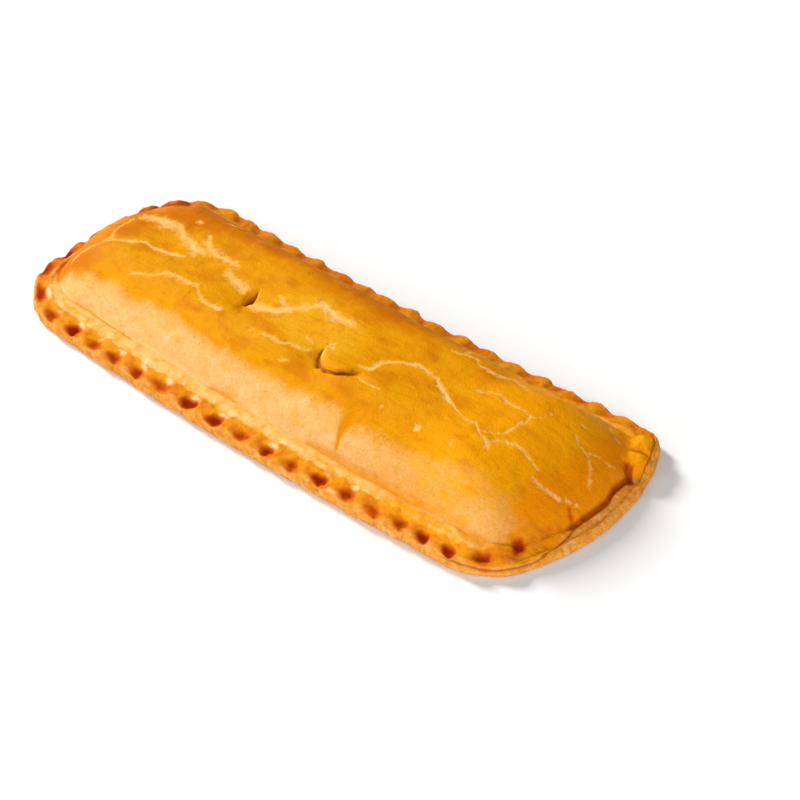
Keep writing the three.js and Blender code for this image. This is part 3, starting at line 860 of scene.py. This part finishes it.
# shader sums in Python: a wire is a socket that takes part in them
class Wire:
    def __init__(self, tree, socket=None):
        self.tree = tree
        self.socket = socket

    def node(self, kind, settings=None, sockets=None, output=0):
        made = self.tree.nodes.new(kind)
        for key, value in (settings or {}).items():
            setattr(made, key, value)
        for key, value in (sockets or {}).items():
            if isinstance(value, Wire):
                self.tree.links.new(value.socket, made.inputs[key])
            else:
                made.inputs[key].default_value = value
        return Wire(self.tree, made.outputs[output])

    def maths(self, operation, first, second):
        return self.node("ShaderNodeMath", {"operation": operation}, {0: first, 1: second})

    def __add__(self, other):
        return self.maths("ADD", self, other)

    __radd__ = __add__

    def __sub__(self, other):
        return self.maths("SUBTRACT", self, other)

    def __rsub__(self, other):
        return self.maths("SUBTRACT", other, self)

    def __mul__(self, other):
        return self.maths("MULTIPLY", self, other)

    __rmul__ = __mul__

    def __or__(self, other):  # the larger of two masks
        return self.maths("MAXIMUM", self, other)

    def ease(self, low, high):
        settings = {"interpolation_type": "SMOOTHSTEP"}
        return self.node("ShaderNodeMapRange", settings, {"Value": self, "From Min": low, "From Max": high})

    def span(self, rise, fall):
        return self.ease(*rise) * self.ease(*fall)

    def mixed(self, first, second):  # self is the share of the second colour
        return self.node("ShaderNodeMix", {"data_type": "RGBA"}, {0: self, 6: first, 7: second}, 2)


def tone(red, green, blue):  # a screen colour, 0 to 255, as linear light
    def linear(value):
        share = value / 255
        return share / 12.92 if share <= 0.04045 else ((share + 0.055) / 1.055) ** 2.4

    return (linear(red), linear(green), linear(blue), 1)


# baked crust: glazed gold above, paler dough on the slope and lip, the slope's pale partly painted sheen;
# browned in the pits;
# painted shade in the creases, grooves, seams, vents and under the tongue; painted light along the right
# half; colours are as a screen shows them
bakedCrust = {
    "gold": (219, 146, 2),
    "deepGold": (196, 106, 0),
    "sunGold": (243, 160, 8),
    "amber": (230, 132, 6),
    "lemon": (231, 165, 24),
    "paleDoughAndSheen": (233, 185, 117),
    "bandDough": (235, 185, 108),
    "bandGold": (226, 153, 34),
    "lipDough": (231, 164, 78),
    "lipBrown": (218, 132, 40),
    "ropeGold": (224, 142, 20),
    "ropeBrown": (208, 114, 20),
    "toasted": (200, 88, 12),
    "scorchAndShade": (140, 26, 2),
    "slopeCreaseShade": (216, 130, 8),
    "footCreaseShade": (217, 139, 14),
    "grooveBrownAndShade": (150, 52, 6),
    "seamShade": (136, 50, 4),
    "crumb": (240, 203, 144),
    "crack": (245, 200, 122),
    "vent": (136, 54, 0),
    "lipShadow": (104, 22, 0),
    "under": (196, 120, 50),
}
crustGrains = {  # size in mm, detail, and a squeeze along the length, where below 1 draws it out
    "broad": (30, 3, 1),
    "middling": (9, 4, 1),
    "mottle": (3.5, 3, 1),
    "fine": (2.2, 3, 1),
    "pores": (0.6, 2, 1),
    "blotch": (6, 5, 0.6),
    "strokes": (1.6, 3, 0.25),
    "streaks": (1.2, 3, 2.5),
}
crustMasks = {  # the grains that fray a mask's border, where it starts and where it is whole
    "deep": ({"broad": 1.6, "middling": 0.4, "fine": 0.2}, 0.2, 0.85),
    "rightHalfLight": ({"middling": 0.6}, 0.1, 0.9),
    "amber": ({"middling": 0.5}, 0.15, 0.85),
    "lemon": ({"middling": 0.8}, 0.15, 0.85),
    "pale": ({"middling": 0.5, "streaks": 0.4, "fine": 0.3, "blotch": 0.7}, 0.05, 0.95),
    "palePart": ({}, 0, 0.3),
    "band": ({"fine": 0.4}, 0.2, 0.7),
    "footShown": ({"fine": 0.5}, 0, 0.8),
    "wall": ({"fine": 0.4}, 0.25, 0.75),
    "rope": ({"fine": 0.7}, 0.15, 0.85),
    "crease": ({"fine": 0.4}, 0.25, 0.95),
    "groove": ({"fine": 0.3}, 0.25, 0.8),
    "crackCore": ({"fine": 1.4, "pores": 0.8}, 1.9, 0.1),
    "crackWeb": ({"fine": 1}, 2.8, 1.0),
    "crackHalo": ({"middling": 2}, 3.2, 0.8),
    "torn": ({"fine": 0.6}, 0.15, 0.7),
    "toasted": ({"fine": 0.4}, 0.1, 0.65),
    "scorched": ({"fine": 0.4}, 0.45, 1.15),
    "seam": ({}, 0.25, 0.9),
    "vent": ({}, 0.1, 0.9),
}
crustSpots = {  # spots of a grain, where they start and where they are whole
    "sun": ("middling", 0.5, 0.75),
    "blotch": ("blotch", 0.5, 0.68),
    "stroke": ("strokes", 0.5, 0.7),
    "pore": ("pores", 0.5, 0.75),
    "paleStreak": ("streaks", 0.3, 0.6),
    "paleGold": ("fine", 0.5, 0.7),
    "paleCrumb": ("mottle", 0.5, 0.7),
    "bandGold": ("mottle", 0.42, 0.64),
    "bandCrumb": ("fine", 0.52, 0.72),
    "ropeBrown": ("mottle", 0.42, 0.68),
    "wallCrumb": ("mottle", 0.55, 0.7),
    "crackBreak": ("blotch", 0.35, 0.6),
}
crustShares = {"rightHalfLight": 0.8, "sun": 0.4, "blotch": 0.55, "rightHalfLightBlotch": 0.3, "pale": 0.8, "bandGold": 0.75,
               "bandCrumb": 0.45, "wallCrumb": 0.4, "crackCore": 0.55, "crackWeb": 0.7}
crackWeb = {"size": 3.6, "warpSize": 0.5, "warp": 0.8, "line": (0.14, 0.02)}
lipMix = {"pores": 0.3, "fine": 0.7, "edge": (0.35, 0.65)}
footLineMix = {"ragged": 0.8, "span": ((-0.8, -0.1), (0.8, 0.1))}
lipShadowSpan = ((-0.3, 0.1), (1.1, 0.6))
crustGloss = {"base": 0.6, "pale": 0.06, "dry": 0.2, "scorched": 0.2, "uneven": 0.15, "specular": 0.02}
crustBump = {"fine": 0.5, "pores": 0.5, "strokes": 0.2, "strength": 0.6, "distance": 0.6}


def bakedCrustMaterial():
    look = {name: tone(*screen) for name, screen in bakedCrust.items()}
    shares = crustShares
    material = bpy.data.materials.new("bakedCrust")
    material.use_nodes = True
    tree = material.node_tree
    shader = tree.nodes["Principled BSDF"]
    start = Wire(tree)
    place = start.node("ShaderNodeTexCoord", output="Object")

    def noise(size, detail, squeeze):
        squeezed = {0: place, 1: (squeeze, 1, 1)}
        vector = start.node("ShaderNodeVectorMath", {"operation": "MULTIPLY"}, squeezed)
        sockets = {"Vector": vector, "Scale": 1 / (size * mm), "Detail": detail}
        return start.node("ShaderNodeTexNoise", {}, sockets)

    def webbing():  # thin ragged lines between cells
        size = crackWeb["size"] * mm
        sockets = {"Vector": place, "Scale": 1 / (crackWeb["warpSize"] * size)}
        warp = start.node("ShaderNodeTexNoise", {}, sockets, "Color")
        shifted = {0: warp, 1: (crackWeb["warp"] * size,) * 3, 2: place}
        vector = start.node("ShaderNodeVectorMath", {"operation": "MULTIPLY_ADD"}, shifted)
        cells = {"Vector": vector, "Scale": 1 / size}
        toEdge = start.node("ShaderNodeTexVoronoi", {"feature": "DISTANCE_TO_EDGE"}, cells)
        return toEdge.ease(*crackWeb["line"])

    def paint(name):
        return start.node("ShaderNodeAttribute", {"attribute_name": name}, output="Fac")

    grain = {name: noise(*settings) for name, settings in crustGrains.items()}

    def mask(name, value=None):
        weights, low, high = crustMasks[name]
        value = paint(name) if value is None else value
        for source, weight in weights.items():
            value = value + (grain[source] - 0.5) * weight
        return value.ease(low, high)

    def spots(name):
        source, low, high = crustSpots[name]
        return grain[source].ease(low, high)

    ragged = grain["fine"] - 0.5
    gap = paint("crack") * crackSettings["far"]
    crack = mask("crackCore", gap) * atLeast(shares["crackCore"], spots("crackBreak"))
    crack = crack | (webbing() * mask("crackWeb", gap) * shares["crackWeb"])
    rightHalfLight = mask("rightHalfLight") * shares["rightHalfLight"]
    sun = (mask("crackHalo", gap) | spots("sun")) * shares["sun"]
    blotches = spots("blotch")
    pale = mask("pale") * mask("palePart", paint("pale"))
    wall, crumb = mask("wall"), mask("torn")
    scorched = mask("scorched", paint("scorchAndShade"))
    footGap = (paint("footGap") - 0.5) * (2 * footCrease["lineReach"]) + ragged * footLineMix["ragged"]
    lipGap = (paint("lipGap") - 0.5) * (2 * tongue["lineReach"])
    bandTone = (spots("bandGold") * shares["bandGold"]).mixed(look["bandDough"], look["bandGold"])
    bandTone = (spots("bandCrumb") * shares["bandCrumb"]).mixed(bandTone, look["crumb"])
    lipPale = (grain["pores"] * lipMix["pores"] + grain["fine"] * lipMix["fine"]).ease(*lipMix["edge"])

    colour = look["gold"]
    layers = [  # from the glaze up: where a layer shows, how much of it, its colour
        # deep is painted shade on the far side and left end; the right half is painted lighter as light
        (mask("deep"), 1, look["deepGold"]),
        (sun | rightHalfLight, 1, look["sunGold"]),
        (mask("amber"), 0.85, look["amber"]),
        (mask("lemon"), 0.7, look["lemon"]),
        (blotches * (shares["blotch"] - rightHalfLight * shares["rightHalfLightBlotch"]), 1, look["deepGold"]),
        (spots("stroke"), 0.25, look["deepGold"]),
        # the pale slope: paler dough and painted sheen
        (pale * atLeast(shares["pale"], spots("paleStreak")), 1, look["paleDoughAndSheen"]),
        (pale * spots("paleGold"), 0.3, look["bandGold"]),
        (pale * spots("paleCrumb"), 0.4, look["crumb"]),
        (pale * blotches, 0.45, look["sunGold"]),
        (spots("pore"), 0.3, look["deepGold"]),
        (mask("band"), 0.9, bandTone),
        (footGap.span(*footLineMix["span"]) * mask("footShown"), 0.8, look["footCreaseShade"]),
        (wall, 0.95, lipPale.mixed(look["lipBrown"], look["lipDough"])),
        (mask("rope"), 0.9, spots("ropeBrown").mixed(look["ropeGold"], look["ropeBrown"])),
        (mask("crease"), 0.7, look["slopeCreaseShade"]),
        (mask("groove"), 0.85, look["grooveBrownAndShade"]),
        (crack, 0.74, look["crack"]),
        (crumb | (wall * spots("wallCrumb") * shares["wallCrumb"]), 0.8, look["crumb"]),
        # toasted and scorched: browning in and round the pits, and painted shade round the folded corner
        (mask("toasted", paint("scorchAndShade")), 0.9, look["toasted"]),
        (scorched, 0.9, look["scorchAndShade"]),
        (mask("seam"), 0.85, look["seamShade"]),
        (mask("vent"), 0.9, look["vent"]),
        (lipGap.span(*lipShadowSpan) * paint("lipCut"), 0.95, look["lipShadow"]),
        (paint("under"), 1, look["under"]),
    ]
    for where, share, layerColour in layers:
        colour = (where * share).mixed(colour, layerColour)

    dry = crack | crumb | wall
    gloss = crustGloss["base"] + pale * crustGloss["pale"] + dry * crustGloss["dry"]
    gloss = gloss + scorched * crustGloss["scorched"] + (grain["middling"] - 0.5) * crustGloss["uneven"]
    height = dry * ragged
    for name in ("fine", "pores", "strokes"):
        height = height + grain[name] * crustBump[name]
    bumps = {"Strength": crustBump["strength"], "Distance": crustBump["distance"] * mm, "Height": height}
    bump = start.node("ShaderNodeBump", {}, bumps)
    tree.links.new(colour.socket, shader.inputs["Base Color"])
    tree.links.new(gloss.socket, shader.inputs["Roughness"])
    tree.links.new(bump.socket, shader.inputs["Normal"])
    shader.inputs["Specular IOR Level"].default_value = crustGloss["specular"]
    return material


rings, count = surface["inset"].shape
under, top = ladderFaces(0, count, False), ladderFaces((rings - 1) * count, count, True)
faces = under + ringFaces(rings, count) + top
empanada = makePiece("bakedEmpanada", surface["points"].reshape(-1, 3), faces, tint, bakedCrustMaterial())
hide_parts("empanada")
print("empanada made", len(faces), "faces")


# floor and light: a white table, a key light from the left, soft light from the front and above
studio = {
    "floor": tone(242, 242, 242),
    "floorHalf": 4,
    "floorRoughness": 0.7,
    "world": 0.12,
    "lights": {
        "key": {"place": (-2.65, 0.3, 1.38), "size": 0.7, "power": 126, "colour": (1, 1, 1)},
        "front": {"place": (-0.9, -2.4, 1.5), "size": 1.6, "power": 23, "colour": (1, 1, 1)},
        "above": {"place": (0.3, -0.5, 3.0), "size": 3.0, "power": 10, "colour": (1, 1, 1)},
        "fill": {"place": (2.4, -1.7, 1.1), "size": 1.6, "power": 77, "colour": (1, 0.96, 0.92)},
    },
}


def makeStudio():
    mesh = bpy.data.meshes.new("floor")
    half = studio["floorHalf"]
    corners = [(-half, -half, 0), (half, -half, 0), (half, half, 0), (-half, half, 0)]
    mesh.from_pydata(corners, [], [(0, 1, 2, 3)])
    material = bpy.data.materials.new("whiteTable")
    material.use_nodes = True
    shader = material.node_tree.nodes["Principled BSDF"]
    shader.inputs["Base Color"].default_value = studio["floor"]
    shader.inputs["Roughness"].default_value = studio["floorRoughness"]
    mesh.materials.append(material)
    floor = bpy.data.objects.new("floor", mesh)
    bpy.context.scene.collection.objects.link(floor)
    for name, setting in studio["lights"].items():
        lamp = bpy.data.lights.new(name, "AREA")
        lamp.size = setting["size"]
        lamp.energy = setting["power"]
        lamp.color = setting["colour"]
        light = bpy.data.objects.new(name, lamp)
        light.location = setting["place"]
        light.rotation_euler = Vector(setting["place"]).to_track_quat("Z", "Y").to_euler()
        bpy.context.scene.collection.objects.link(light)
    world = bpy.data.worlds.new("studio")
    world.use_nodes = True
    background = world.node_tree.nodes["Background"]
    background.inputs["Color"].default_value = (1, 1, 1, 1)
    background.inputs["Strength"].default_value = studio["world"]
    bpy.context.scene.world = world
    bpy.context.scene.view_settings.view_transform = "Standard"


makeStudio()
print("studio lit")
